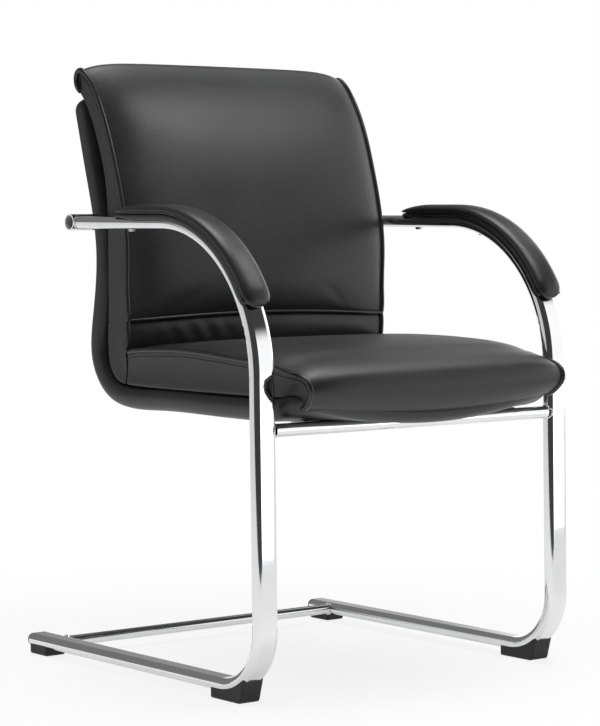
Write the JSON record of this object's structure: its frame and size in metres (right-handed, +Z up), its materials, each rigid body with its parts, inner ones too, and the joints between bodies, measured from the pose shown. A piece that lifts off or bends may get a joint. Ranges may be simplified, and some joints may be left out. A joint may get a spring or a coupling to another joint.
{
  "type": "visitor chair",
  "caption": "Black leather cantilever visitor chair with a one-piece wrapped shell, boxed cushions, padded arms and bent flat-oval chrome tubes.",
  "frame": {"origin": "on the floor, at the middle of the chair's width and depth", "axes": "+Z up, +X across the chair to the right as seen from the front, the sitter faces -Y"},
  "size_m": [0.586, 0.624, 0.8814],
  "materials": {
    "chrome_tube": "polished chrome plate",
    "bracket_steel": "polished chrome plate",
    "black_rubber": "matt black",
    "shell_leather": "fine-grained, semi-matt",
    "cushion_leather": "fine-grained, semi-matt",
    "pad_leather": "fine-grained, semi-matt",
    "pad_base_plastic": "matt black",
    "cap_plastic": "matt black",
    "plywood": "raw",
    "fastener_steel": "zinc plated"
  },
  "bodies": {
    "root": {"arm_bolts": "fastener_steel", "arm_pad_screws": "fastener_steel", "back_cushion": "cushion_leather", "core_inserts": "fastener_steel", "floor_crossbar": "chrome_tube", "foot_screws": "fastener_steel", "front_crossbar": "chrome_tube", "left_arm_pad": "pad_leather", "left_arm_pad_base": "pad_base_plastic", "left_arm_stub": "chrome_tube", "left_front_foot": "black_rubber", "left_rear_foot": "black_rubber", "left_runner_cap": "cap_plastic", "left_seat_bracket": "bracket_steel", "left_side_tube": "chrome_tube", "lumbar_strip": "cushion_leather", "right_arm_pad": "pad_leather", "right_arm_pad_base": "pad_base_plastic", "right_arm_stub": "chrome_tube", "right_front_foot": "black_rubber", "right_rear_foot": "black_rubber", "right_runner_cap": "cap_plastic", "right_seat_bracket": "bracket_steel", "right_side_tube": "chrome_tube", "seat_cushion": "cushion_leather", "seat_screws": "fastener_steel", "seat_tee_nuts": "fastener_steel", "shell_core": "plywood", "shell_cover": "shell_leather"}
  },
  "joints": []
}
